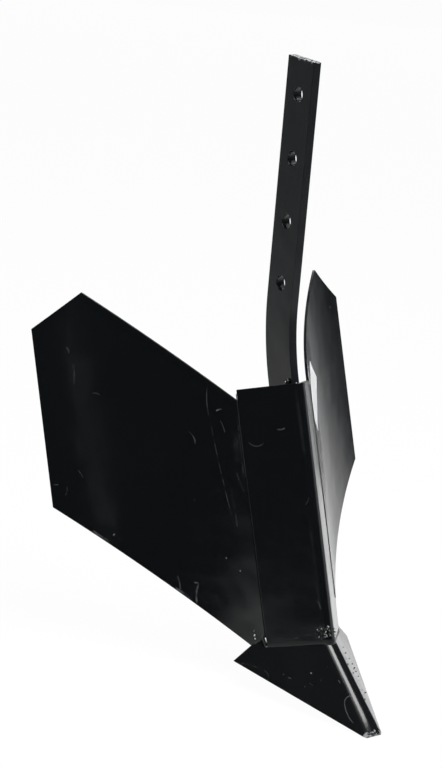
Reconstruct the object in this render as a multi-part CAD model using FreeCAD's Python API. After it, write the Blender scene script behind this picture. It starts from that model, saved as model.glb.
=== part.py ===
import FreeCAD, Part
import math
import os

# Ridging plough for a light tiller: a drilled flat-bar shank carries a folded breast, two rolled
# wings and a folded share, all welded together.
#
# Frame, in millimetres: the origin is the centre of the shank's uppermost hole, +X points forward to
# the nose of the share, +Y to the plough's left and +Z up along the straight part of the shank.

V = FreeCAD.Vector

# Shank: flat bar on edge, straight at the top and bent forward at the bottom
shank_width = 30.0            # fore and aft
shank_thickness = 6.0         # across
hole_diameter = 10.5
hole_count = 4
hole_pitch = 43.5
top_margin = 24.0             # top end to the centre of the uppermost hole
bend_margin = 12.0            # centre of the lowest hole to the start of the bend
bend_radius = 160.0           # on the centre line
rake = 21.5                   # degrees that the bent part leans forward
breast_lead = 1.0             # end of the bend to the breast's top edge
foot_reach = 14.0             # how far the bar runs on below the breast's bottom edge

# Breast: plate folded to a V round the front of the bent part
breast_thickness = 4.0
breast_half_angle = 38.2      # degrees between a flange and the middle plane
breast_flange = 49.9          # width of a flange from the sharp corner of the fold
breast_length = 179.0
breast_fold_radius = 5.0      # outside

# Wings: sheet rolled about an axis parallel to the breast's fold, hollow side forward. Girths are
# measured across the flat sheet from its inner edge, and heights along the fold.
wing_thickness = 2.0
wing_roll_radius = 290.6      # of the hollow face
wing_start_angle = 31.2       # degrees between the sheet's inner edge and the middle plane
wing_girth = 144.3
wing_peak_girth = 105.6
wing_top_inner = 6.0          # below the breast's top edge
wing_peak = 82.4              # above it
wing_top_outer = 60.8
wing_bottom_outer = 111.8     # above the breast's bottom edge
wing_bottom_inner = 8.1       # below it, before the corner is cropped
wing_crop_inner = 6.4         # corner cropped to clear the share, up its inner edge
wing_crop_girth = 12.6        # and along its bottom
wing_root_gap = 0.2           # between the sheet's back corner and the end face of the flange

# Share: thicker plate folded to a V, with a flat sole and a blunt nose. Its fold widens towards the
# nose, as a cone.
share_thickness = 5.0
share_seam_radius = 6.5       # outside of the fold, at the breast
share_nose_radius = 12.5      # outside of the fold, at the nose
ridge_rake = 34.0             # degrees that its ridge falls below the level
ridge_length = 64.5           # breast to nose, along the sharp corner of the fold
nose_depth = 8.5              # ridge to sole at the nose
sole_tilt = 9.1               # degrees that the sole falls towards the nose
heel_lap = 14.0               # how far its top edge runs on behind the breast's flanges
heel_rake = 18.0              # degrees that the heel edge leans forward
ear_height = 5.8              # how far its heel corners stand up behind the breast's flanges
ear_gap = 0.5                 # between an ear and the end of the flange

# Weld beads
seam_bead_radius = 3.0        # across the front, between breast and share
seam_bead_sink = 0.8          # how far its centre lies below the plates' faces
seam_bead_end = 2.0           # bare length of the seam at either end
wing_bead_radius = 3.2        # behind, between breast and wing
wing_bead_proud = 1.5         # how far its centre stands behind the sheet
wing_bead_end = 8.0
shank_bead_leg = 7.0          # inside the V, between shank and breast
shank_bead_crown = 0.6        # how far its face bulges
shank_bead_end = 6.0

foot_gap = 0.3                # between the bar's notched foot and the inside of the share
block = 1600.0                # edge of a trimming block
stock = 600.0                 # length of the folded or rolled stock that a piece is trimmed from

# Directions and places that follow from the sizes
lean = math.radians(rake)
down_fold = V(math.sin(lean), 0, -math.cos(lean))
off_fold = V(math.cos(lean), 0, math.sin(lean))
half_angle = math.radians(breast_half_angle)
start_angle = math.radians(wing_start_angle)

lowest_hole = -(hole_count - 1) * hole_pitch
bend_centre = V(bend_radius, 0, lowest_hole - bend_margin)
bend_end = bend_centre - off_fold * bend_radius

# the bar's front corners bear on the insides of both flanges
fold_to_bar = breast_thickness / math.sin(half_angle) + shank_thickness / 2 / math.tan(half_angle)
fold_top = bend_end + down_fold * breast_lead + off_fold * (shank_width / 2 + fold_to_bar)
fold_bottom = fold_top + down_fold * breast_length

# the share's faces run on from the bottom edges of the breast's flanges
ridge = V(math.cos(math.radians(ridge_rake)), 0, -math.sin(math.radians(ridge_rake)))
seam = off_fold * -math.cos(half_angle) + V(0, math.sin(half_angle), 0)
share_face = ridge.cross(seam).normalize()
share_half_angle = math.acos(share_face.y)
nose = fold_bottom + ridge * ridge_length


def frame_at(origin, forward):
    """Frame in the middle plane whose X points along forward and whose Y points left."""
    turn = math.degrees(math.atan2(forward.z, forward.x))
    return FreeCAD.Placement(origin, FreeCAD.Rotation(V(0, 1, 0), -turn))


def line(a, b):
    return Part.LineSegment(a, b).toShape()


def arc(a, middle, b):
    return Part.Arc(a, middle, b).toShape()


def flat(edges):
    """Flat face inside a closed run of edges."""
    return Part.Face(Part.Wire(edges))


def flank(angle):
    """Backwards and left, at an angle from the middle plane."""
    return V(-math.cos(angle), math.sin(angle), 0)


def facing(angle):
    """Square to flank, forwards and left."""
    return V(math.sin(angle), math.cos(angle), 0)


def mirrored(point):
    return V(point.x, -point.y, point.z)


def trim(shape, point, outward):
    """Shape without what lies beyond the plane through point, on its outward side."""
    beyond = Part.makeBox(block, block, block, V(-block / 2, -block / 2, 0))
    beyond.Placement = FreeCAD.Placement(point, FreeCAD.Rotation(V(0, 0, 1), outward))
    return shape.cut(beyond)


def bend_section(angle, thickness, radius, down):
    """Section of a plate's bend at a half angle, at a distance down the fold. The sharp outer corner
    of the fold is on the Z axis and the bend opens backwards."""
    edge = flank(angle) * (radius / math.tan(angle))
    inward = facing(angle) * -thickness
    axis = V(-radius / math.sin(angle), 0, 0)
    section = Part.Wire([
        arc(edge, axis + V(radius, 0, 0), mirrored(edge)),
        line(mirrored(edge), mirrored(edge + inward)),
        arc(mirrored(edge + inward), axis + V(radius - thickness, 0, 0), edge + inward),
        line(edge + inward, edge),
    ])
    section.translate(V(0, 0, -down))
    return section


def folded_plate(angle, thickness, flange, stations):
    """Plate folded to a V. Each station is a distance down the fold and the radius of the bend there,
    and between two stations the bend is a cylinder or a cone."""
    def on_flange(across, down):
        return flank(angle) * across - V(0, 0, down)

    bend = None
    for start, end in zip(stations, stations[1:]):
        sections = [bend_section(angle, thickness, radius, down) for down, radius in (start, end)]
        run = Part.makeLoft(sections, True, True)
        bend = bend.fuse(run) if bend else run
    inner = [on_flange(radius / math.tan(angle), down) for down, radius in stations]
    corners = inner + [on_flange(flange, stations[-1][0]), on_flange(flange, stations[0][0])]
    face = flat([line(a, b) for a, b in zip(corners, corners[1:] + corners[:1])])
    side = face.extrude(facing(angle) * -thickness)
    return bend.fuse([side, side.mirror(V(0, 0, 0), V(0, 1, 0))]).removeSplitter()


def make_shank():
    """Flat bar bent in its own plane, drilled through, and notched at the foot, where it sits on the
    share's top edge and runs on inside it."""
    half = shank_width / 2

    def on_bend(radius, angle):
        return bend_centre - V(math.cos(angle), 0, math.sin(angle)) * radius

    inner = bend_radius - half
    outer = bend_radius + half
    shoulder = fold_bottom - off_fold * fold_to_bar
    inside_share = (share_thickness + share_face.y * shank_thickness / 2) / share_face.dot(off_fold)
    notch = shoulder - off_fold * (inside_share - fold_to_bar + foot_gap)
    toe = notch + down_fold * foot_reach
    heel = shoulder - off_fold * shank_width + down_fold * foot_reach
    profile = flat([
        line(V(-half, 0, top_margin), V(half, 0, top_margin)),
        line(V(half, 0, top_margin), on_bend(inner, 0)),
        arc(on_bend(inner, 0), on_bend(inner, lean / 2), on_bend(inner, lean)),
        line(on_bend(inner, lean), shoulder),
        line(shoulder, notch),
        line(notch, toe),
        line(toe, heel),
        line(heel, on_bend(outer, lean)),
        arc(on_bend(outer, lean), on_bend(outer, lean / 2), on_bend(outer, 0)),
        line(on_bend(outer, 0), V(-half, 0, top_margin)),
    ])
    bar = profile.extrude(V(0, shank_thickness, 0))
    bar.translate(V(0, -shank_thickness / 2, 0))
    for k in range(hole_count):
        side = V(0, -shank_thickness, -k * hole_pitch)
        bar = bar.cut(Part.makeCylinder(hole_diameter / 2, 2 * shank_thickness, side, V(0, 1, 0)))
    return bar


def make_breast():
    plate = folded_plate(half_angle, breast_thickness, breast_flange,
                         [(0, breast_fold_radius), (breast_length, breast_fold_radius)])
    plate.Placement = frame_at(fold_top, off_fold)
    return plate


def on_roll(girth, depth=0.0):
    """Point of the rolled sheet's section: girth from its inner edge, depth behind the hollow face.
    The inner edge's back corner stands off the end face of the breast's flange by the root gap."""
    gap = wing_root_gap + wing_thickness * math.sin(half_angle - start_angle)
    edge = flank(half_angle) * breast_flange + flank(start_angle) * gap
    axis = edge + facing(start_angle) * wing_roll_radius
    return axis - facing(start_angle + girth / wing_roll_radius) * (wing_roll_radius + depth)


def make_wing_left():
    """Rolled sheet, trimmed square to its face along the straight edges of the flat blank, and at the
    foot by the planes of the breast's bottom edge and the share's face."""
    middle = wing_girth / 2
    section = flat([
        arc(on_roll(0), on_roll(middle), on_roll(wing_girth)),
        line(on_roll(wing_girth), on_roll(wing_girth, wing_thickness)),
        arc(on_roll(wing_girth, wing_thickness), on_roll(middle, wing_thickness),
            on_roll(0, wing_thickness)),
        line(on_roll(0, wing_thickness), on_roll(0)),
    ])
    sheet = section.extrude(V(0, 0, -stock))
    sheet.translate(V(0, 0, stock / 2))

    def trim_edge(shape, inner, outer, up):
        start = on_roll(inner[0]) - V(0, 0, inner[1])
        end = on_roll(outer[0]) - V(0, 0, outer[1])
        facing_edge = facing(start_angle + (inner[0] + outer[0]) / 2 / wing_roll_radius)
        outward = facing_edge.cross(end - start)
        return trim(shape, start, outward * (up * math.copysign(1, outward.z)))

    peak = (wing_peak_girth, -wing_peak)
    sheet = trim_edge(sheet, (0, wing_top_inner), peak, 1)
    sheet = trim_edge(sheet, peak, (wing_girth, -wing_top_outer), 1)
    bottom_inner = (0, breast_length + wing_bottom_inner)
    bottom_outer = (wing_girth, breast_length - wing_bottom_outer)
    sheet = trim_edge(sheet, bottom_inner, bottom_outer, -1)
    sheet = trim_edge(sheet, (0, breast_length - wing_crop_inner), (wing_crop_girth, breast_length), -1)
    sheet.Placement = frame_at(fold_top, off_fold)
    sheet = trim(sheet, fold_bottom, down_fold)
    return trim(sheet, fold_bottom, share_face * -1)


def make_share():
    """Folded plate trimmed along the seam, the sole, the heel and the nose. Its top edge is notched to
    the seam where the breast stands, which leaves an ear at either heel."""
    past_nose = ridge_length + nose_depth + share_thickness
    growth = (share_nose_radius - share_seam_radius) / ridge_length
    plate = folded_plate(share_half_angle, share_thickness, stock, [
        (-stock, share_seam_radius),
        (0, share_seam_radius),
        (past_nose, share_seam_radius + growth * past_nose),
    ])
    plate.Placement = frame_at(fold_bottom, V(-ridge.z, 0, ridge.x))
    tilt = math.radians(sole_tilt)
    heel = math.radians(heel_rake)
    heel_top = fold_bottom + seam * (breast_flange + heel_lap)
    plate = trim(plate, fold_bottom - down_fold * ear_height, down_fold * -1)
    notch = Part.makeBox(block, 2 * (math.sin(half_angle) * breast_flange + ear_gap), block)
    notch.translate(V(-block / 2, -notch.BoundBox.YLength / 2, 0))
    notch.Placement = frame_at(fold_bottom, off_fold).multiply(notch.Placement)
    plate = plate.cut(notch)
    plate = trim(plate, nose - V(0, 0, nose_depth), V(-math.sin(tilt), 0, -math.cos(tilt)))
    plate = trim(plate, heel_top, V(-math.cos(heel), 0, math.sin(heel)))
    return trim(plate, nose, V(1, 0, 0))


def make_seam_bead(breast, share):
    """Bead across the front, round the fold, in the corner between breast and share."""
    radius = breast_fold_radius - seam_bead_sink
    end = flank(half_angle) * (breast_flange - seam_bead_end) - facing(half_angle) * seam_bead_sink
    bend = (flank(half_angle) * (breast_fold_radius / math.tan(half_angle))
            - facing(half_angle) * seam_bead_sink)
    crown = V(radius - breast_fold_radius / math.sin(half_angle), 0, 0)
    path = Part.Wire([
        line(end, bend),
        arc(bend, crown, mirrored(bend)),
        line(mirrored(bend), mirrored(end)),
    ])
    profile = Part.Wire(Part.makeCircle(seam_bead_radius, end, flank(half_angle)))
    bead = path.makePipeShell([profile], True, True)
    bead.Placement = frame_at(fold_bottom, off_fold)
    return bead.cut(breast).cut(share)


def make_wing_bead_left(breast, wing):
    """Bead behind the seam between the breast's flange and the wing, none of it in the open groove
    in front."""
    centre = on_roll(0, wing_thickness + wing_bead_proud)
    top = wing_top_inner + wing_bead_end
    length = breast_length - wing_bead_end - top
    bead = Part.makeCylinder(wing_bead_radius, length, centre - V(0, 0, top + length))
    bead = trim(bead, on_roll(0, wing_thickness), facing(start_angle))
    bead.Placement = frame_at(fold_top, off_fold).multiply(bead.Placement)
    return bead.cut(breast).cut(wing)


def make_shank_bead_left():
    """Bead in the corner between the bar's side and the inside of the breast's flange."""
    corner = V(-fold_to_bar, shank_thickness / 2, 0)
    on_bar = corner + flank(0) * shank_bead_leg
    on_flange = corner + flank(half_angle) * shank_bead_leg
    crown = (on_bar + on_flange) * 0.5 + flank(half_angle / 2) * shank_bead_crown
    section = flat([
        line(corner, on_bar),
        arc(on_bar, crown, on_flange),
        line(on_flange, corner),
    ])
    bead = section.extrude(V(0, 0, -(breast_length - 2 * shank_bead_end)))
    bead.translate(V(0, 0, -shank_bead_end))
    bead.Placement = frame_at(fold_top, off_fold).multiply(bead.Placement)
    return bead


def right_hand(shape):
    """The same piece on the other side of the middle plane."""
    return shape.mirror(V(0, 0, 0), V(0, 1, 0))


breast = make_breast()
share = make_share()
wing_left = make_wing_left()
wing_bead_left = make_wing_bead_left(breast, wing_left)
shank_bead_left = make_shank_bead_left()
pieces = {
    "shank": make_shank(),
    "breast": breast,
    "wing_left": wing_left,
    "wing_right": right_hand(wing_left),
    "share": share,
    "weld_share": make_seam_bead(breast, share),
    "weld_wing_left": wing_bead_left,
    "weld_wing_right": right_hand(wing_bead_left),
    "weld_shank_left": shank_bead_left,
    "weld_shank_right": right_hand(shank_bead_left),
}

os.makedirs("parts", exist_ok=True)
for name, shape in pieces.items():
    shape.exportStep(os.path.join("parts", name + ".step"))
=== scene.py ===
import math

import bmesh
import bpy
import numpy as np
from mathutils import Matrix, Vector


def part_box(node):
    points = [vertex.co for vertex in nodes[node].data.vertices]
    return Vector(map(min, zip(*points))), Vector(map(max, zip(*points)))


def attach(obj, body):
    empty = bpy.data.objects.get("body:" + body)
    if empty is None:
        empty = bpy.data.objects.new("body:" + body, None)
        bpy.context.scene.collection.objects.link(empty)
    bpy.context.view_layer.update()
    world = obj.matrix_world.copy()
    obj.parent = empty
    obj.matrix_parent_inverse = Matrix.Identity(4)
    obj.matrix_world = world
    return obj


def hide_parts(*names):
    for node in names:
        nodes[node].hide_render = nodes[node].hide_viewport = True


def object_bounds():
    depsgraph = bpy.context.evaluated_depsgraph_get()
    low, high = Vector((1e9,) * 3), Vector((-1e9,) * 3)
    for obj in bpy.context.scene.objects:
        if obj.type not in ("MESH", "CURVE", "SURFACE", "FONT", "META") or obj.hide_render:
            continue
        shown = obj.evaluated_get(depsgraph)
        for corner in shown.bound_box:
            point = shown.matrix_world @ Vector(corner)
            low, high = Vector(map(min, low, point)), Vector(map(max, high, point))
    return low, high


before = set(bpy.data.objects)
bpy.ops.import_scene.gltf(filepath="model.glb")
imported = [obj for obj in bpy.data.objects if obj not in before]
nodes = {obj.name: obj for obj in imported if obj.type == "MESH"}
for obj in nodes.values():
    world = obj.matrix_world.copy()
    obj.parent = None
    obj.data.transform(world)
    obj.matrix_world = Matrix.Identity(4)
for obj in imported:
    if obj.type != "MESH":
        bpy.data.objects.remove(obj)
cad_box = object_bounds()


# ---------------------------------------------------------------------------------------------
# Shank. A length of drawn 30 x 6 mm flat steel bar on edge, punched with four holes and bent
# forward at the bottom, where it is welded into the breast. It is sprayed with thin black gloss,
# which is rubbed off the sheared top end.

bar_black = (0.0042, 0.0054, 0.0066)
# grey of dust nibs, also the colour of a painted highlight line above the front bead
dust_and_highlight_grey = (0.02, 0.02, 0.02)
primer_grey = (0.16, 0.165, 0.17)


def new_group(name, inputs, outputs):
    """Shader node group with float (F) or vector (V) sockets, and its two end nodes."""
    kinds = {"F": "NodeSocketFloat", "V": "NodeSocketVector"}
    group = bpy.data.node_groups.new(name, "ShaderNodeTree")
    for label, kind in inputs:
        group.interface.new_socket(name=label, in_out="INPUT", socket_type=kinds[kind])
    for label, kind in outputs:
        group.interface.new_socket(name=label, in_out="OUTPUT", socket_type=kinds[kind])
    return group, group.nodes.new("NodeGroupInput"), group.nodes.new("NodeGroupOutput")


def give(tree, node, inputs):
    """Links a node's input sockets to sockets, or sets them to values."""
    for label, value in inputs.items():
        if isinstance(value, bpy.types.NodeSocket):
            tree.links.new(value, node.inputs[label])
        else:
            node.inputs[label].default_value = value


def place(tree, kind, inputs=(), **settings):
    """Node of a tree, with its settings made and its input sockets linked or given values."""
    node = tree.nodes.new(kind)
    for label, value in settings.items():
        setattr(node, label, value)
    give(tree, node, dict(inputs))
    return node


def maths(tree, operation, *values, clamp=False):
    """Result socket of a Math node."""
    return place(tree, "ShaderNodeMath", dict(enumerate(values)), operation=operation,
                 use_clamp=clamp).outputs[0]


def fade(tree, value, low, high):
    """Socket that falls smoothly from 1 where value is low to 0 where it is high."""
    node = place(tree, "ShaderNodeMapRange", {"Value": value, "From Min": low, "From Max": high,
                                              "To Min": 1.0, "To Max": 0.0},
                 interpolation_type="SMOOTHSTEP")
    return node.outputs[0]


def noise(tree, vector, scale, detail=2.0, stretch=None):
    """Fac socket of a noise at a scale per metre, of the vector stretched by a factor each way."""
    if stretch:
        vector = place(tree, "ShaderNodeMapping", {"Vector": vector, "Scale": stretch}).outputs[0]
    return place(tree, "ShaderNodeTexNoise", {"Vector": vector, "Scale": scale,
                                              "Detail": detail}).outputs["Fac"]


# Sprayed gloss: fine orange peel over a slow waviness, dull patches where hands and packing rubbed
# it, and dust nibs.
spray, spray_in, spray_out = new_group(
    "sprayed_gloss",
    [("Vector", "V"), ("Gloss", "F"), ("Smears", "F"), ("Waves", "F")],
    [("Roughness", "F"), ("Height", "F"), ("Dust", "F")])
spot = spray_in.outputs["Vector"]
peel = noise(spray, spot, 620.0, 3.0)
wave = noise(spray, spot, 42.0, 1.0)
smear = noise(spray, spot, 21.0, 5.0, (1.0, 1.0, 0.35))
nib = place(spray, "ShaderNodeTexVoronoi", {"Vector": spot, "Scale": 260.0}).outputs["Distance"]
nib = fade(spray, nib, 0.03, 0.07)
few = maths(spray, "GREATER_THAN", noise(spray, spot, 55.0, 1.0), 0.60)
nib = maths(spray, "MULTIPLY", nib, few)
patch = fade(spray, smear, 0.62, 0.42)
rough = maths(spray, "MULTIPLY_ADD", patch, spray_in.outputs["Smears"], spray_in.outputs["Gloss"])
height = maths(spray, "MULTIPLY", wave, spray_in.outputs["Waves"])
height = maths(spray, "MULTIPLY_ADD", peel, 0.025, height)
height = maths(spray, "MULTIPLY_ADD", nib, 0.12, height)
give(spray, spray_out, {"Roughness": rough, "Height": height, "Dust": nib})

# A scratch, a scuff and a painted highlight streak are each where the surface meets a ball: the
# ball's skin draws an arc on it, cut off at half the line's length from its middle and broken up by
# noise.
arc_line, arc_line_in, arc_line_out = new_group(
    "arc_line_mark",
    [("Vector", "V"), ("Centre", "V"), ("Radius", "F"), ("Middle", "V"), ("Reach", "F"),
     ("Width", "F")],
    [("Mask", "F")])
spot = arc_line_in.outputs["Vector"]
away = place(arc_line, "ShaderNodeVectorMath", {0: spot, 1: arc_line_in.outputs["Centre"]},
             operation="DISTANCE").outputs["Value"]
off = maths(arc_line, "ABSOLUTE", maths(arc_line, "SUBTRACT", away, arc_line_in.outputs["Radius"]))
thin = maths(arc_line, "MULTIPLY", arc_line_in.outputs["Width"], 0.3)
line = fade(arc_line, off, thin, arc_line_in.outputs["Width"])
along = place(arc_line, "ShaderNodeVectorMath", {0: spot, 1: arc_line_in.outputs["Middle"]},
              operation="DISTANCE").outputs["Value"]
near = maths(arc_line, "MULTIPLY", arc_line_in.outputs["Reach"], 0.7)
line = maths(arc_line, "MULTIPLY", line, fade(arc_line, along, near, arc_line_in.outputs["Reach"]))
broken = fade(arc_line, noise(arc_line, spot, 150.0, 3.0), 0.62, 0.36)
line = maths(arc_line, "MULTIPLY", line, maths(arc_line, "MULTIPLY_ADD", broken, 0.75, 0.25))
give(arc_line, arc_line_out, {"Mask": line})

# Chips: flakes of paint gone within a reach of a straight edge, down to primer and steel.
chips, chips_in, chips_out = new_group(
    "edge_chips",
    [("Vector", "V"), ("Point", "V"), ("Inward", "V"), ("Reach", "F"), ("Share", "F")],
    [("Mask", "F")])
spot = chips_in.outputs["Vector"]
step_in = place(chips, "ShaderNodeVectorMath", {0: spot, 1: chips_in.outputs["Point"]},
                operation="SUBTRACT").outputs[0]
depth = place(chips, "ShaderNodeVectorMath", {0: step_in, 1: chips_in.outputs["Inward"]},
              operation="DOT_PRODUCT").outputs["Value"]
near = fade(chips, depth, 0.0, chips_in.outputs["Reach"])
flake = noise(chips, spot, 420.0, 4.0)
level = maths(chips, "MULTIPLY_ADD", near, chips_in.outputs["Share"], flake)
mask = place(chips, "ShaderNodeMapRange", {"Value": level, "From Min": 0.98,
                                           "From Max": 1.03}).outputs[0]
give(chips, chips_out, {"Mask": mask})


def black_gloss(name, colour, gloss, smears=0.12, waves=0.9, marks=()):
    """Black sprayed paint. marks are functions that take the tree and the Object coordinates and
    return a mask socket, the colour that shows there and how strongly."""
    material = bpy.data.materials.new(name)
    material.use_nodes = True
    tree = material.node_tree
    skin = tree.nodes["Principled BSDF"]
    spot = place(tree, "ShaderNodeTexCoord").outputs["Object"]
    coat = place(tree, "ShaderNodeGroup", {"Vector": spot, "Gloss": gloss, "Smears": smears,
                                           "Waves": waves}, node_tree=spray)
    shade = place(tree, "ShaderNodeMix", {"Factor": coat.outputs["Dust"], "A": (*colour, 1.0),
                                          "B": (*dust_and_highlight_grey, 1.0)}, data_type="RGBA")
    shade = shade.outputs["Result"]
    rough = coat.outputs["Roughness"]
    for mark in marks:
        mask, tint, strength = mark(tree, spot)
        mask = maths(tree, "MULTIPLY", mask, strength)
        shade = place(tree, "ShaderNodeMix", {"Factor": mask, "A": shade, "B": (*tint, 1.0)},
                      data_type="RGBA").outputs["Result"]
        rough = maths(tree, "MULTIPLY_ADD", mask, 0.35, rough)
    bump = place(tree, "ShaderNodeBump", {"Height": coat.outputs["Height"], "Distance": 0.0006})
    give(tree, skin, {"Base Color": shade, "Roughness": rough, "Normal": bump.outputs[0]})
    return material


def rubbed_edge(point, inward, reach, share, tint, strength):
    """Mark: chips within a reach inward of an edge that passes through point. The higher the share,
    the more of the paint is gone."""
    def mark(tree, spot):
        node = place(tree, "ShaderNodeGroup", {
            "Vector": spot, "Point": tuple(point), "Inward": inward, "Reach": reach,
            "Share": share}, node_tree=chips)
        return node.outputs["Mask"], tint, strength
    return mark


def arc_mark(start, middle, end, width, tint, strength):
    """Mark: an arc through three points of a surface. The ball that draws it has their circle's
    centre and its radius, abc / 4K with a, b, c the sides and K the area of the triangle."""
    start, middle, end = (np.array(corner, float) for corner in (start, middle, end))
    one, two = start - middle, end - middle
    turn = np.cross(one, two)
    centre = np.cross(one.dot(one) * two - two.dot(two) * one, turn) / (2 * turn.dot(turn))
    reach = max(np.linalg.norm(one), np.linalg.norm(two))

    def mark(tree, spot):
        node = place(tree, "ShaderNodeGroup", {
            "Vector": spot, "Centre": tuple(middle + centre), "Radius": np.linalg.norm(centre),
            "Middle": tuple(middle), "Reach": reach, "Width": width}, node_tree=arc_line)
        return node.outputs["Mask"], tint, strength
    return mark


def finish(piece, stands_for, material, edge, flats=0):
    """Joins a piece to the frame in place of the node it stands for. It gives the piece its paint,
    smooth shading, edges rounded to a radius and, with flats, normals weighted to large faces."""
    piece.data.materials.clear()
    piece.data.materials.append(material)
    piece.data.polygons.foreach_set("use_smooth", np.ones(len(piece.data.polygons), bool))
    if edge:
        round_over = piece.modifiers.new("edges", "BEVEL")
        round_over.width = edge
        round_over.segments = 3
        round_over.limit_method = "ANGLE"
        round_over.angle_limit = math.radians(35.0)
        round_over.harden_normals = True
    if flats:
        level = piece.modifiers.new("flats", "WEIGHTED_NORMAL")
        level.weight = flats
    if stands_for:
        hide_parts(stands_for)
    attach(piece, "root")


def put(name, data):
    """Object that holds the data, linked to the scene at its origin."""
    held = bpy.data.objects.new(name, data)
    bpy.context.scene.collection.objects.link(held)
    return held


def solid_copy(name, node):
    """Object with a node's own shape, its loose triangles joined and its flats made whole."""
    shape = bmesh.new()
    shape.from_mesh(nodes[node].data)
    bmesh.ops.remove_doubles(shape, verts=shape.verts, dist=2e-6)
    bmesh.ops.dissolve_limit(shape, angle_limit=math.radians(0.4), verts=shape.verts,
                             edges=shape.edges)
    bmesh.ops.recalc_face_normals(shape, faces=shape.faces)
    mesh = bpy.data.meshes.new(name)
    shape.to_mesh(mesh)
    shape.free()
    return put(name, mesh)


def quads(grid):
    """Corner indices of the squares of a grid of indices, four to a square."""
    return np.stack([grid[:-1, :-1], grid[1:, :-1], grid[1:, 1:], grid[:-1, 1:]], -1).reshape(-1, 4)


def new_piece(name, spots, faces):
    """Object of an array of points and a list of faces' indices, turned outward."""
    mesh = bpy.data.meshes.new(name)
    mesh.from_pydata(spots.tolist(), [], faces)
    shape = bmesh.new()
    shape.from_mesh(mesh)
    bmesh.ops.recalc_face_normals(shape, faces=shape.faces)
    shape.to_mesh(mesh)
    shape.free()
    return put(name, mesh)


bar_top = (0.0, 0.0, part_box("shank")[1][2])
finish(solid_copy("bar", "shank"), "shank", black_gloss(
    "shank_black", bar_black, 0.24, smears=0.05, waves=0.7, marks=[
        rubbed_edge(bar_top, (0, 0, -1), 0.0035, 0.52, primer_grey, 0.95),
    ]), 0.0003, flats=100)

# the burr that the punch left round each hole on the far face: a ring (R + r cos u) about its axis
hole_count, hole_pitch = 4, 0.0435
bar_half = 0.0030
burr_reach, burr_height = 0.0053, 0.0004
turn, around = np.meshgrid(np.linspace(0, 2 * math.pi, 49)[:-1],
                           np.linspace(0, 2 * math.pi, 11)[:-1], indexing="ij")
reach = burr_reach + burr_height * np.cos(around)
ring = np.stack([reach * np.cos(turn), bar_half + burr_height * np.sin(around),
                 reach * np.sin(turn)], -1).reshape(-1, 3)
closed = np.pad(np.arange(len(ring)).reshape(turn.shape), ((0, 1), (0, 1)), "wrap")
spots = np.concatenate([ring - (0.0, 0.0, hole_pitch * hole) for hole in range(hole_count)])
faces = np.concatenate([quads(closed) + len(ring) * hole for hole in range(hole_count)])
finish(new_piece("hole_burrs", spots, faces.tolist()), None, bpy.data.materials["shank_black"],
       0)


# ---------------------------------------------------------------------------------------------
# Breast. A 4 mm steel plate folded to a V on a press brake, standing on the share in front of the
# bar's bent part and welded to both. The fold's outside is stretched smooth, and the flanges have
# light handling scratches, faint pale streaks just past the fold that are painted highlight, and a
# pale line along the top of the front bead that is painted highlight.

rake = math.radians(21.5)
down = np.array([math.sin(rake), 0.0, -math.cos(rake)])
ahead = np.array([math.cos(rake), 0.0, math.sin(rake)])
left = np.array([0.0, 1.0, 0.0])
fold_top = np.array([0.035021, 0.0, -0.192805])
breast_angle = math.radians(38.2)
breast_flange = 0.0499
breast_length = 0.179
breast_thickness = 0.004
breast_fold = 0.005
sheet_black = (0.0024, 0.0032, 0.0040)
# grey of scratches, also the colour of painted highlight and reflection streaks
scratch_and_sheen_grey = (0.075, 0.078, 0.082)


def flank(angle, side):
    """Unit vectors along a plate's section, back and out from the fold: left sin(angle), turned to
    the side, less ahead cos(angle)."""
    return -ahead * np.cos(angle)[..., None] + left * (side * np.sin(angle))[..., None]


def facing(angle, side):
    """Unit vectors square to flank, on the plate's front: ahead sin(angle) plus left cos(angle),
    turned to the side."""
    return ahead * np.sin(angle)[..., None] + left * (side * np.cos(angle))[..., None]


def plate_between(name, front, back):
    """Closed plate between two skins, each a grid of m x n points, with a rim along all four sides.
    The faces are turned outward by the sign of the volume, the sum of a . (b x c) / 6."""
    spots = np.concatenate([front.reshape(-1, 3), back.reshape(-1, 3)])
    index = np.arange(len(spots)).reshape(2, *front.shape[:2])
    faces = np.concatenate([quads(index[0]), quads(index[1])[:, ::-1],
                            quads(index[::-1, 0]), quads(index[:, -1]),
                            quads(index[:, :, 0]), quads(index[::-1, :, -1])])
    a, b, c, d = (spots[faces[:, k]] for k in range(4))
    if (a * (np.cross(b, c) + np.cross(c, d))).sum() < 0:
        faces = faces[:, ::-1]
    mesh = bpy.data.meshes.new(name)
    mesh.from_pydata(spots.tolist(), [], faces.tolist())
    return put(name, mesh)


def folded_section(angle, radius, flange, depth=0.0):
    """Points (forward, left) across a folded plate from the right flange's end to the left's, at a
    depth behind its front, and the way each faces: (cos t, sin t), with t from angle - 90 degrees
    to 90 degrees - angle round the bend. The bend's axis lies radius / sin(angle) behind the sharp
    corner."""
    turn = np.linspace(angle - math.pi / 2, math.pi / 2 - angle, 33)
    turn = np.concatenate([turn[:1], turn, turn[-1:]])
    way = np.stack([np.cos(turn), np.sin(turn)], 1)
    spots = way * (radius - depth) - (radius / math.sin(angle), 0.0)
    spots[0] = (-flange * math.cos(angle), -flange * math.sin(angle)) - way[0] * depth
    spots[-1] = spots[0] * (1, -1)
    return spots, way


def stroke(on, side, start, end, sag, width, tint, strength):
    """Mark: a scratch, and for some marks a painted highlight streak, over a surface from start to
    end, that bows sideways by sag at its middle.
    """
    start, end = np.array(start), np.array(end)
    run = end - start
    bow = np.array([-run[1], run[0]]) / np.hypot(*run) * sag
    return arc_mark(on(side, *start), on(side, *((start + end) / 2 + bow)), on(side, *end),
                    width, tint, strength)


def on_flange(side, across, height):
    """Point of the breast's outer face: across from the fold and height down from its top edge."""
    return fold_top + down * height + flank(breast_angle, side) * across


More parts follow.
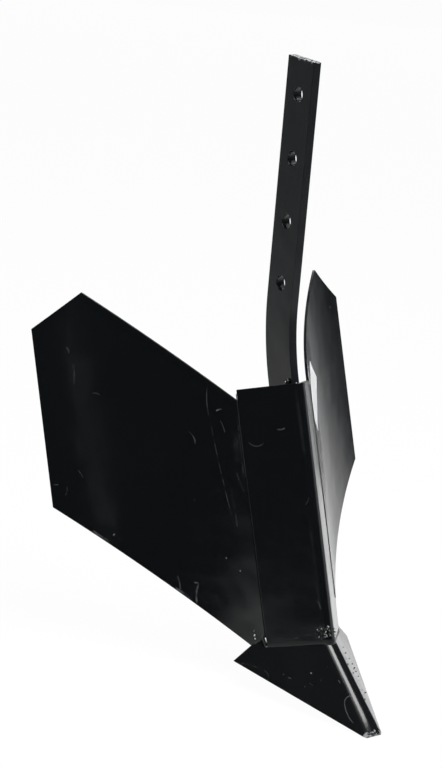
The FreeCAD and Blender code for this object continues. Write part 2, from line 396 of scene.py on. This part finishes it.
# heights are measured from fold_top, and the plate is sheared a little above it
top_lift = 0.0011
skins = []
for depth in (0.0, breast_thickness):
    section = folded_section(breast_angle, breast_fold, breast_flange, depth)[0]
    edge = fold_top + section[:, :1] * ahead + section[:, 1:] * left
    skins.append(np.stack([edge - down * top_lift, edge + down * breast_length]))
breast = plate_between("breast_plate", *skins)

# scratches, and painted highlight streaks along the fold and above the front bead: start and end as
# (across, down), bow at the middle, width, tint and strength
breast_marks = [
    ((0.0456, 0.0351), (0.0332, 0.0363), -0.0036, 0.0006, scratch_and_sheen_grey, 0.4),
    ((0.0234, 0.0289), (0.0174, 0.0285), -0.0008, 0.0006, (0.10, 0.10, 0.10), 0.6),
    ((0.0066, 0.0775), (0.0098, 0.0828), 0.0008, 0.0006, scratch_and_sheen_grey, 0.25),
    # these two long faint pale streaks just past the fold's bend are painted highlight, not
    # scratches
    ((0.0070, 0.0010), (0.0062, 0.0500), 0.0004, 0.0016, scratch_and_sheen_grey, 0.10),
    ((0.0080, 0.0850), (0.0084, 0.1600), 0.0004, 0.0014, scratch_and_sheen_grey, 0.08),
    ((0.0096, 0.1480), (0.0074, 0.1560), 0.0006, 0.0006, scratch_and_sheen_grey, 0.35),
    # a faint pale line along the top of the front bead: painted highlight
    ((0.0313, 0.1752), (0.0126, 0.1718), 0.0006, 0.0007, dust_and_highlight_grey, 0.4),
]
finish(breast, "breast", black_gloss(
    "breast_black", sheet_black, 0.15, smears=0.04, waves=0.7,
    marks=[stroke(on_flange, -1, *mark) for mark in breast_marks]), 0.0005)


# ---------------------------------------------------------------------------------------------
# Share. A 5 mm steel plate folded to a V, cropped to a flat sole and a blunt nose, and welded under
# the breast. It enters the soil first, and its nose has lost paint to knocks in the store.

share_black = (0.0048, 0.0053, 0.0059)
fold_bottom = fold_top + down * breast_length
ridge_rake, ridge_length = math.radians(34.0), 0.0645
nose_depth, sole_tilt = 0.0085, math.radians(9.1)
heel_lap, heel_rake = 0.014, math.radians(18.0)
ear_height, ear_gap = 0.0058, 0.0005
ridge = np.array([math.cos(ridge_rake), 0.0, -math.sin(ridge_rake)])
share_ahead = np.array([-ridge[2], 0.0, ridge[0]])
seam = flank(breast_angle, 1)
share_face = np.cross(ridge, seam)
share_angle = math.acos(share_face[1] / np.linalg.norm(share_face))
share_thickness = 0.005
nose = fold_bottom + ridge * ridge_length
sole = nose - (0.0, 0.0, nose_depth)


def on_share(side, across, along):
    """Point of the share's outer face: across behind the fold, along the seam with the breast, and
    along the ridge towards the nose."""
    return fold_bottom + flank(breast_angle, side) * across + ridge * along


def trimmed(piece, cuts):
    """Cuts a closed piece by planes, each a point and the way outward, and caps it at each."""
    shape = bmesh.new()
    shape.from_mesh(piece.data)
    for spot, outward in cuts:
        bmesh.ops.bisect_plane(shape, geom=[*shape.verts, *shape.edges, *shape.faces], dist=1e-7,
                               plane_co=spot, plane_no=outward, clear_outer=True)
        bmesh.ops.holes_fill(shape, edges=[edge for edge in shape.edges if edge.is_boundary],
                             sides=0)
    bmesh.ops.recalc_face_normals(shape, faces=shape.faces)
    shape.to_mesh(piece.data)
    shape.free()


def share_fold(along):
    """Outer radius of the share's bend at a distance along the ridge. It is tight at the seam and
    flares at the nose: 0.008 + 0.016 along + 0.18 (p + sqrt(p^2 + 0.008^2)), p = along - 0.062."""
    past = along - 0.062
    return 0.0080 + 0.016 * max(along, 0.0) + 0.18 * (past + math.hypot(past, 0.008))


stock_flange, stations = 0.090, np.linspace(-0.060, 0.085, 30)
skins = []
for depth in (0.0, share_thickness):
    rows = []
    for along in stations:
        section = folded_section(share_angle, share_fold(along), stock_flange, depth)[0]
        rows.append(fold_bottom + ridge * along
                    + section[:, :1] * share_ahead + section[:, 1:] * left)
    skins.append(np.stack(rows))
share = plate_between("share_plate", *skins)
trimmed(share, [
    (fold_bottom - down * ear_height, -down),
    (sole, (-math.sin(sole_tilt), 0, -math.cos(sole_tilt))),
    (fold_bottom + seam * (breast_flange + heel_lap),
     (-math.cos(heel_rake), 0, math.sin(heel_rake))),
    (nose, (1, 0, 0)),
])

# the notch that the breast stands in, between the two ears
half = math.sin(breast_angle) * breast_flange + ear_gap
block = np.array([[x, y, z] for x in (-0.2, 0.2) for y in (-half, half) for z in (0.0, 0.2)])
cube = [(0, 1, 3, 2), (4, 6, 7, 5), (0, 4, 5, 1), (2, 3, 7, 6), (0, 2, 6, 4), (1, 5, 7, 3)]
block_mesh = bpy.data.meshes.new("notch")
block_mesh.from_pydata((fold_bottom + block @ np.stack([ahead, left, -down])).tolist(), [], cube)
notch = put("notch", block_mesh)
cutter = share.modifiers.new("notch", "BOOLEAN")
cutter.object, cutter.operation, cutter.solver = notch, "DIFFERENCE", "EXACT"
whole = bpy.data.meshes.new_from_object(share.evaluated_get(bpy.context.evaluated_depsgraph_get()))
share.modifiers.clear()
share.data = whole
bpy.data.objects.remove(notch)

nose_chips = rubbed_edge(sole, (-0.85, 0.0, 0.53), 0.0115, 0.52, (0.30, 0.305, 0.31), 0.85)
# scratches: start and end as (across, along the ridge), bow, width, tint and strength
share_marks = [
    ((0.0748, 0.0114), (0.0599, 0.0180), 0.0008, 0.0006, scratch_and_sheen_grey, 0.22),
    ((0.0600, 0.0180), (0.0585, 0.0235), 0.0009, 0.0006, scratch_and_sheen_grey, 0.22),
    ((0.0064, 0.0416), (0.0138, 0.0466), -0.0014, 0.0005, scratch_and_sheen_grey, 0.85),
    ((0.0138, 0.0466), (0.0140, 0.0632), -0.0016, 0.0005, scratch_and_sheen_grey, 0.85),
    ((0.0450, 0.0250), (0.0430, 0.0262), 0.0003, 0.0004, scratch_and_sheen_grey, 0.9),
    ((0.0276, 0.0222), (0.0268, 0.0230), 0.0002, 0.0006, (0.3, 0.3, 0.3), 0.9),
    ((0.0106, 0.0290), (0.0100, 0.0312), 0.0002, 0.0004, scratch_and_sheen_grey, 0.9),
    ((0.0072, 0.0296), (0.0078, 0.0312), 0.0002, 0.0004, scratch_and_sheen_grey, 0.9),
]
finish(share, "share", black_gloss(
    "share_black", share_black, 0.16, smears=0.06,
    marks=[nose_chips, *(stroke(on_share, -1, *mark) for mark in share_marks)]),
    0.0006)


# ---------------------------------------------------------------------------------------------
# Wings. 2 mm steel sheet rolled hollow side forward, and welded behind to the breast's flanges.
# The gloss is deepest here. Each has a few hair scratches from handling, and the right one has
# faint pale streaks along its inner edge that are painted reflection.

roll_radius = 0.2906
roll_start = math.radians(31.2)
wing_thickness = 0.002
wing_girth = 0.1443
root_gap = 0.0002
pale_grey = (0.22, 0.22, 0.22)

# the sheared edges, each through two points (girth, height) of the hollow face
peak = (0.1056, -0.0824)
top_cut = ((0.0, 0.006), peak)
outer_cut = (peak, (wing_girth, -0.0608))
bottom_cut = ((0.0, breast_length + 0.0081), (wing_girth, breast_length - 0.1118))
corner_cut = ((0.0, breast_length - 0.0064), (0.0126, breast_length))


def on_wing(side, girth, height, depth=0.0):
    """Point of a wing, or points where girth is an array: girth from its inner edge along the roll,
    height down the fold from the breast's top edge and depth behind the hollow face. The roll is a
    circle about an axis parallel to the fold: axis - facing(a) (radius + depth), a = the angle at
    the inner edge + girth / radius."""
    gap = root_gap + wing_thickness * math.sin(breast_angle - roll_start)
    start = flank(breast_angle, side) * breast_flange + flank(roll_start, side) * gap
    axis = start + facing(roll_start, side) * roll_radius
    turn = roll_start + np.asarray(girth) / roll_radius
    return fold_top + down * np.asarray(height)[..., None] + axis \
        - facing(turn, side) * (roll_radius + depth)


def sheared(side, girth, depth, inner, outer):
    """Heights at which the generators at a girth meet the cut through two points (girth, height) of
    the hollow face, which is square to the sheet midway: height = ((p - q) . n) / -(down . n)."""
    first, last = on_wing(side, *inner), on_wing(side, *outer)
    square = facing(roll_start + (inner[0] + outer[0]) / 2 / roll_radius, side)
    normal = np.cross(square, last - first)
    return (on_wing(side, girth, np.zeros_like(girth), depth) - first) @ normal / -down.dot(normal)


# scratches by side, and on the right wing painted reflection streaks by its inner edge: start and
# end as (girth, down), bow, width, tint and strength
wing_marks = {
    1: [
        ((0.1290, -0.0540), (0.1302, -0.0525), 0.0003, 0.0008, pale_grey, 0.9),
    ],
    -1: [
        ((0.0203, -0.0087), (0.0222, 0.0179), -0.0018, 0.0005, scratch_and_sheen_grey, 0.5),
        ((0.0222, 0.0179), (0.0140, 0.0889), -0.0008, 0.0005, scratch_and_sheen_grey, 0.4),
        ((0.0406, 0.0238), (0.0358, 0.0342), 0.0020, 0.0006, scratch_and_sheen_grey, 0.8),
        ((0.0169, 0.0120), (0.0121, 0.0111), 0.0003, 0.0006, pale_grey, 0.9),
        ((0.0146, 0.0186), (0.0120, 0.0280), 0.0004, 0.0004, scratch_and_sheen_grey, 0.6),
        ((0.1211, -0.0451), (0.1200, -0.0400), 0.0008, 0.0008, scratch_and_sheen_grey, 0.4),
        ((0.1175, -0.0332), (0.1187, -0.0176), 0.0004, 0.0010, scratch_and_sheen_grey, 0.35),
        ((0.1065, -0.0104), (0.1010, -0.0084), 0.0006, 0.0007, scratch_and_sheen_grey, 0.3),
        ((0.1232, 0.0428), (0.1203, 0.0489), 0.0003, 0.0005, scratch_and_sheen_grey, 0.6),
        ((0.1422, 0.0513), (0.1380, 0.0518), 0.0002, 0.0005, scratch_and_sheen_grey, 0.5),
        ((0.1324, 0.0532), (0.1347, 0.0601), 0.0006, 0.0006, scratch_and_sheen_grey, 0.5),
        ((0.0419, 0.0722), (0.0411, 0.0732), 0.0002, 0.0006, scratch_and_sheen_grey, 0.6),
        ((0.1039, 0.0923), (0.1023, 0.0911), 0.0002, 0.0008, pale_grey, 0.9),
        ((0.0229, 0.1146), (0.0225, 0.1158), 0.0002, 0.0007, pale_grey, 0.9),
        ((0.0134, 0.1244), (0.0130, 0.1256), 0.0002, 0.0007, pale_grey, 0.9),
        # these two faint pale streaks by the inner edge are painted reflection, not scratches
        ((0.0012, 0.0140), (0.0017, 0.0618), 0.0003, 0.0012, scratch_and_sheen_grey, 0.2),
        ((0.0048, 0.0265), (0.0052, 0.0500), 0.0004, 0.0030, scratch_and_sheen_grey, 0.16),
        ((0.0070, 0.0544), (0.0021, 0.0709), -0.0006, 0.0009, scratch_and_sheen_grey, 0.35),
        ((0.0130, 0.0640), (0.0112, 0.0960), 0.0004, 0.0008, scratch_and_sheen_grey, 0.35),
        ((0.0608, 0.1244), (0.0599, 0.1352), 0.0008, 0.0008, scratch_and_sheen_grey, 0.9),
        ((0.0452, 0.1313), (0.0486, 0.1460), -0.0012, 0.0009, scratch_and_sheen_grey, 0.9),
        ((0.0490, 0.1310), (0.0455, 0.1316), 0.0004, 0.0008, scratch_and_sheen_grey, 0.9),
        ((0.0640, 0.1330), (0.0520, 0.1430), 0.0006, 0.0010, scratch_and_sheen_grey, 0.8),
        ((0.1064, 0.0960), (0.1184, 0.0864), 0.0006, 0.0012, scratch_and_sheen_grey, 0.7),
    ],
}
for name, side in (("wing_left", 1), ("wing_right", -1)):
    fine = np.linspace(0.0, wing_girth, 2001)
    gap = sheared(side, fine, 0.0, *bottom_cut) - sheared(side, fine, 0.0, *corner_cut)
    corner = fine[np.argmax(gap < 0)]
    girths = np.unique(np.concatenate([np.linspace(0.0, wing_girth, 97), [peak[0], corner]]))
    part_way = np.linspace(0.0, 1.0, 49)[:, None, None]
    skins = []
    for depth in (0.0, wing_thickness):
        top = np.maximum(sheared(side, girths, depth, *top_cut),
                         sheared(side, girths, depth, *outer_cut))
        low = np.minimum(sheared(side, girths, depth, *bottom_cut),
                         sheared(side, girths, depth, *corner_cut))
        low = np.minimum(low, breast_length)
        start, end = on_wing(side, girths, top, depth), on_wing(side, girths, low, depth)
        skins.append(start + part_way * (end - start))
    finish(plate_between(name.replace("wing", "blade"), *skins), name, black_gloss(
        name + "_black", sheet_black, 0.12, smears=0.04, waves=0.8,
        marks=[stroke(on_wing, side, *mark) for mark in wing_marks[side]]), 0.0003)


# ---------------------------------------------------------------------------------------------
# Label. A blank sticker of white vinyl film, 45 x 26 mm. Its own glue holds it to the hollow of the
# left wing, where it was put on slantwise by hand.

# middle and directions as (girth, height) on the wing
label_middle = np.array([0.0494, 0.0119])
label_long = np.array([-0.507, 0.862])
label_wide = np.array([0.862, 0.507])
label_size = (0.0452, 0.0257)
label_lifts = (-0.00018, -0.00006)


def mottled(name, scale, detail, dark, light, rough_span, rough_least):
    """Material whose colour runs from dark to light by a noise, and its roughness over a span."""
    material = bpy.data.materials.new(name)
    material.use_nodes = True
    tree = material.node_tree
    mottle = noise(tree, place(tree, "ShaderNodeTexCoord").outputs["Object"], scale, detail)
    shade = place(tree, "ShaderNodeMix", {"Factor": mottle, "A": (*dark, 1.0), "B": (*light, 1.0)},
                  data_type="RGBA")
    rough = maths(tree, "MULTIPLY_ADD", mottle, rough_span, rough_least)
    give(tree, tree.nodes["Principled BSDF"], {"Base Color": shade.outputs["Result"],
                                               "Roughness": rough})
    return material


steps_long = np.linspace(-0.5, 0.5, 25)[:, None, None] * label_size[0] * label_long
steps_wide = np.linspace(-0.5, 0.5, 15)[None, :, None] * label_size[1] * label_wide
spread = label_middle + steps_long + steps_wide
label = plate_between("label_sheet", *(on_wing(1, spread[..., 0], spread[..., 1], lift)
                                       for lift in label_lifts))
finish(label, None, mottled("label_vinyl", 90.0, 4.0, (0.84, 0.85, 0.86), (0.90, 0.90, 0.90),
                            0.2, 0.35), 0)


# ---------------------------------------------------------------------------------------------
# Weld beads. Laid by hand before painting: a rippled bead across the front in the corner between
# breast and share, a short one at each ear, plainer ones behind the wings and inside the V, a tack
# on the bar, and the hair lines where the wings' welds show through from behind.

def laid_bead(name, path, up, width, height, pitch, seed):
    """Bead along a path of points, with up the way it stands proud. At a distance s along the path
    and an angle t round its section its radii (width, height) swell by 1 + w + 0.05 |sin(pi (s /
    pitch + r + 0.35 cos(t)^2))|^0.6, a crescent for each pool, where r and w wander at random.
    They shrink to nothing at both ends, and the underside is 0.6 as deep."""
    chance = np.random.default_rng(seed)
    steps = np.linalg.norm(np.diff(path, axis=0), axis=1)
    run = np.concatenate([[0.0], np.cumsum(steps)])
    spaced = np.linspace(0.0, run[-1], max(12, int(run[-1] / (pitch / 7))))
    spine = np.stack([np.interp(spaced, run, path[:, k]) for k in range(3)], 1)
    lifts = np.stack([np.interp(spaced, run, up[:, k]) for k in range(3)], 1)
    ahead_on = np.gradient(spine, axis=0)
    ahead_on /= np.linalg.norm(ahead_on, axis=1)[:, None]
    lifts -= ahead_on * np.einsum("ij,ij->i", lifts, ahead_on)[:, None]
    lifts /= np.linalg.norm(lifts, axis=1)[:, None]
    across = np.cross(ahead_on, lifts)
    turn = np.linspace(0.0, 2 * math.pi, 33)[:-1][None, :]
    knots = np.linspace(0.0, run[-1], max(6, int(run[-1] / (2.2 * pitch))))
    wander = np.interp(spaced, knots, chance.normal(0.0, 0.05, len(knots)))[:, None]
    pools = np.interp(spaced, knots, chance.normal(0.0, 0.35, len(knots)))[:, None]
    pool = np.abs(np.sin(math.pi * (spaced[:, None] / pitch + pools + 0.35 * np.cos(turn) ** 2)))
    swell = 1.0 + 0.05 * pool ** 0.6 + wander
    end = np.minimum(spaced, run[-1] - spaced)[:, None] / height
    taper = np.sqrt(1.0 - (1.0 - np.clip(end, 0.02, 1.0)) ** 2)
    low = np.where(np.sin(turn) < 0, 0.6, 1.0)
    rings = spine[:, None, :] \
        + across[:, None, :] * (width * np.cos(turn) * swell * taper)[..., None] \
        + lifts[:, None, :] * (height * low * np.sin(turn) * swell * taper)[..., None]
    count, around = rings.shape[:2]
    index = np.arange(count * around).reshape(count, around)
    faces = quads(np.pad(index, ((0, 0), (0, 1)), "wrap")).tolist()
    faces += [index[0].tolist(), index[-1, ::-1].tolist()]
    return new_piece(name, rings.reshape(-1, 3), faces)


bead_black = black_gloss("weld_black", share_black, 0.42, waves=1.2)


def weld(name, stands_for, path, up, width, height, pitch, seed):
    """Painted bead along a path, joined to the frame. up is one way for each point, or for all."""
    ways = np.broadcast_to(up, path.shape)
    finish(laid_bead(name, path, ways, width, height, pitch, seed), stands_for, bead_black,
           0)


# across the front, round the fold, a little above the seam
sunk, raised = 0.0005, 0.0016
section, way = folded_section(breast_angle, breast_fold, breast_flange, sunk)
path = fold_bottom - down * raised + section[:, :1] * ahead + section[:, 1:] * left
proud = way[:, :1] * (1.5 * ahead + 0.5 * share_ahead) + 2 * way[:, 1:] * left
weld("seam_bead", "weld_share", path, proud, 0.0030, 0.0006, 0.0034, 4)

# a short bead closes the gap between each ear and the end of the flange
steps = np.linspace(0.0, 1.0, 9)[:, None]
for side, name, behind in ((-1, "corner_right", 0.0008), (1, "corner_left", 0.0026)):
    out = flank(breast_angle, side)
    path = fold_bottom + out * (0.0523 - 0.0019 * steps) - down * (0.0085 - 0.0083 * steps) \
        - facing(breast_angle, side) * behind
    weld(name, None, path, out, 0.0015, 0.0012, 0.0030, 31)

# the root of each wing's weld shows through the joint as a hair line
for side, name, lowest in ((1, "root_left", breast_length - 0.0240), (-1, "root_right", 0.060)):
    drop = np.linspace(0.0015, lowest, 60)[:, None]
    path = fold_top + down * drop + flank(breast_angle, side) * (breast_flange + root_gap)
    weld(name, None, path, facing(roll_start, side), 0.0003, 0.0004, 0.0030, 41 + side)

# a tack between the bar and the breast's top edge
path = np.array([[0.0178, -0.0038, -0.1976],
                 [0.0198, -0.0040, -0.1960],
                 [0.0220, -0.0038, -0.1944]])
weld("tack", None, path, -left, 0.0020, 0.0016, 0.0030, 51)

# behind the seams of the wings, and in the corners between the bar and the inside of the V
bare_end, proud_of_sheet = 0.008, 0.0008
for side, name in ((1, "weld_wing_left"), (-1, "weld_wing_right")):
    drop = np.linspace(top_cut[0][1] + bare_end, breast_length - bare_end, 40)
    path = on_wing(side, np.zeros(40), drop, wing_thickness + proud_of_sheet)
    weld(name.replace("weld", "bead"), name, path, -facing(roll_start, side),
         0.0030, 0.0036, 0.0036, 11 + side)
corner_depth, bare_end = 0.010281, 0.0065
for side, name in ((1, "weld_shank_left"), (-1, "weld_shank_right")):
    drop = np.linspace(bare_end, breast_length - bare_end, 40)[:, None]
    midway = flank(breast_angle / 2, side)
    path = fold_top - ahead * corner_depth + left * bar_half * side + down * drop + midway * 0.0028
    weld(name.replace("weld", "bead"), name, path, midway, 0.0026, 0.0030, 0.0038, 21 + side)


# ---------------------------------------------------------------------------------------------
# Spatter. Balls of steel thrown out by the arc, frozen to the plates about the beads' ends and
# painted over with the rest, with the paint knocked off some.

def spatter(name, spots, radii, material):
    """Balls as one mesh, each its spot plus its radius times (sin a cos b, sin a sin b, cos a), a
    grid of rings a of points b closed by triangles round its two poles."""
    rows, around = 6, 10
    fall = np.linspace(0.0, math.pi, rows + 2)[1:-1, None]
    turn = np.linspace(0.0, 2 * math.pi, around + 1)[None, :-1]
    ball = np.stack([np.sin(fall) * np.cos(turn), np.sin(fall) * np.sin(turn),
                     np.cos(fall) * np.ones_like(turn)], -1).reshape(-1, 3)
    ball = np.concatenate([ball, [(0, 0, 1), (0, 0, -1)]])
    closed = np.pad(np.arange(rows * around).reshape(rows, around), ((0, 0), (0, 1)), "wrap")
    top = np.full(around, rows * around)
    caps = np.concatenate([np.stack([top, closed[0, :-1], closed[0, 1:]], 1),
                           np.stack([top + 1, closed[-1, 1:], closed[-1, :-1]], 1)])
    corners = np.array(spots)[:, None] + ball * np.array(radii)[:, None, None]
    every = [face for first in range(0, len(ball) * len(spots), len(ball))
             for faces in (quads(closed), caps) for face in (faces + first).tolist()]
    finish(new_piece(name, corners.reshape(-1, 3), every), None, material, 0)


chance = np.random.default_rng(7)
near_fold = [on_flange(-1, *chance.uniform((0.002, 0.1660), (0.0135, 0.1760))) for _ in range(44)]
near_fold += [on_flange(1, *chance.uniform((0.004, 0.1690), (0.020, 0.1770))) for _ in range(6)]
far_share = [on_share(1, *chance.uniform((0.006, 0.003), (0.036, 0.050))) for _ in range(20)]
near_share = [on_share(-1, *chance.uniform((0.010, 0.006), (0.060, 0.034))) for _ in range(6)]
painted = near_fold + far_share + near_share
spatter("spatter", painted, chance.uniform(0.00022, 0.00060, len(painted)), bead_black)
bright = [on_flange(-1, *chance.uniform((0.002, 0.1670), (0.0125, 0.1755))) for _ in range(24)]
sizes = list(chance.uniform(0.00018, 0.00048, len(bright)))
bright += [on_wing(-1, 0.0079, 0.1706), on_wing(-1, 0.0079, 0.1729), on_wing(-1, 0.0081, 0.1672)]
sizes += [0.0008, 0.0006, 0.0004]
bright += [np.array([0.0207, -0.0058, -0.1955]), on_flange(-1, 0.0056, -0.0013),
           on_flange(-1, 0.0034, -0.0013)]
sizes += [0.0006, 0.0004, 0.0003]
bare = mottled("bare_weld", 900.0, 2.0, (0.30, 0.31, 0.32), (0.62, 0.62, 0.62), 0.3, 0.2)
bare.node_tree.nodes["Principled BSDF"].inputs["Metallic"].default_value = 0.6
spatter("spatter_bare", bright, sizes, bare)


# ---------------------------------------------------------------------------------------------
# Studio. A pale floor just under the nose of the share, lit in pools by lamps overhead, a weak
# strip near the camera, pale boards on the horizon and a dim room. The black gloss takes its tones
# from what it mirrors of them.

floor_gap = 0.0005
floor_level = float(cad_box[0][2]) - floor_gap
floor_size = 6.0
floor_mesh = bpy.data.meshes.new("floor")
corners = [(x * floor_size, y * floor_size, floor_level)
           for x, y in ((-1, -1), (1, -1), (1, 1), (-1, 1))]
floor_mesh.from_pydata(corners, [], [(0, 1, 2, 3)])
floor = put("floor", floor_mesh)
pale = bpy.data.materials.new("floor_white")
pale.use_nodes = True
tree = pale.node_tree
tree.nodes.clear()
rays = place(tree, "ShaderNodeLightPath")
lit = place(tree, "ShaderNodeBsdfDiffuse", {"Color": (0.90, 0.90, 0.90, 1.0)})
white = place(tree, "ShaderNodeEmission", {"Color": (1, 1, 1, 1), "Strength": 1.0})
whitened = maths(tree, "MULTIPLY", rays.outputs["Is Camera Ray"], 0.97)
seen = place(tree, "ShaderNodeMixShader", {0: whitened, 1: lit.outputs[0], 2: white.outputs[0]})
place(tree, "ShaderNodeOutputMaterial", {"Surface": seen.outputs[0]})
floor_mesh.materials.append(pale)

world = bpy.data.worlds.new("room")
bpy.context.scene.world = world
world.use_nodes = True
tree = world.node_tree
tree.nodes.clear()
rays = place(tree, "ShaderNodeLightPath")
mirrored = maths(tree, "ADD", rays.outputs["Is Glossy Ray"], rays.outputs["Is Transmission Ray"],
                 clamp=True)
shown = maths(tree, "MULTIPLY_ADD", mirrored, 0.025, rays.outputs["Is Camera Ray"], clamp=True)
room = place(tree, "ShaderNodeBackground", {"Color": (0.85, 0.98, 1.08, 1), "Strength": 0.040})
white = place(tree, "ShaderNodeBackground", {"Color": (1, 1, 1, 1), "Strength": 1.0})
seen = place(tree, "ShaderNodeMixShader", {0: shown, 1: room.outputs[0], 2: white.outputs[0]})
place(tree, "ShaderNodeOutputWorld", {"Surface": seen.outputs[0]})


def softbox(name, size, energy, spot, aim):
    """Rectangular area lamp at a spot, facing another. Its energy is in watts."""
    lamp = bpy.data.lights.new(name, "AREA")
    lamp.shape = "RECTANGLE"
    lamp.size, lamp.size_y = size
    lamp.energy = energy
    held = put(name, lamp)
    held.location = spot
    held.rotation_euler = (Vector(aim) - Vector(spot)).to_track_quat("-Z", "Y").to_euler()


# overhead and facing straight down: size, energy, place on the floor and height over it
for name, size, energy, (x, y), height in (
        ("key", (0.34, 0.40), 5.8, (0.08, 0.06), 0.85),
        ("key_skirt", (0.50, 0.24), 0.7, (0.16, -0.26), 0.85),
        ("far_pool", (0.6, 0.4), 2.5, (-0.70, 0.34), 0.9),
        ("far_floor", (0.8, 0.8), 0.9, (-1.3, 2.0), 1.0),
        ("nose_strip", (0.26, 0.40), 3.7, (0.38, 0.06), 0.85),
        ("rear_fill", (0.9, 0.9), 5.0, (-2.1, -1.5), 1.2)):
    softbox(name, size, energy, (x, y, floor_level + height), (x, y, floor_level))
softbox("strip", (0.06, 0.34), 0.015, (0.91, -1.20, 0.08), (-0.05, -0.13, -0.15))
softbox("backdrop", (4.0, 0.7), 8.0,
        (1.6, 3.3, floor_level + 0.35), (0.2, 0.0, floor_level + 0.35))
softbox("backdrop_rear", (1.8, 0.8), 4.0,
        (-2.7, 1.9, floor_level + 0.5), (0.0, 0.0, floor_level + 0.4))

lens = bpy.data.cameras.new("camera")
lens.sensor_width = 36.0
lens.lens = 87.89
camera = put("camera", lens)
bpy.context.scene.camera = camera
sight = np.array([-0.79061, 0.51665, -0.32865])
sight = sight / np.linalg.norm(sight)
right = np.array([0.52250, 0.84908, 0.07783])
right = right - sight * right.dot(sight)
right = right / np.linalg.norm(right)
eye = (1.0201, -0.7115, 0.2245)
stand = np.eye(4)
stand[:3] = np.stack([right, np.cross(right, sight), -sight, eye], 1)
camera.matrix_world = Matrix(stand.tolist())
bpy.context.scene.view_settings.view_transform = "Standard"
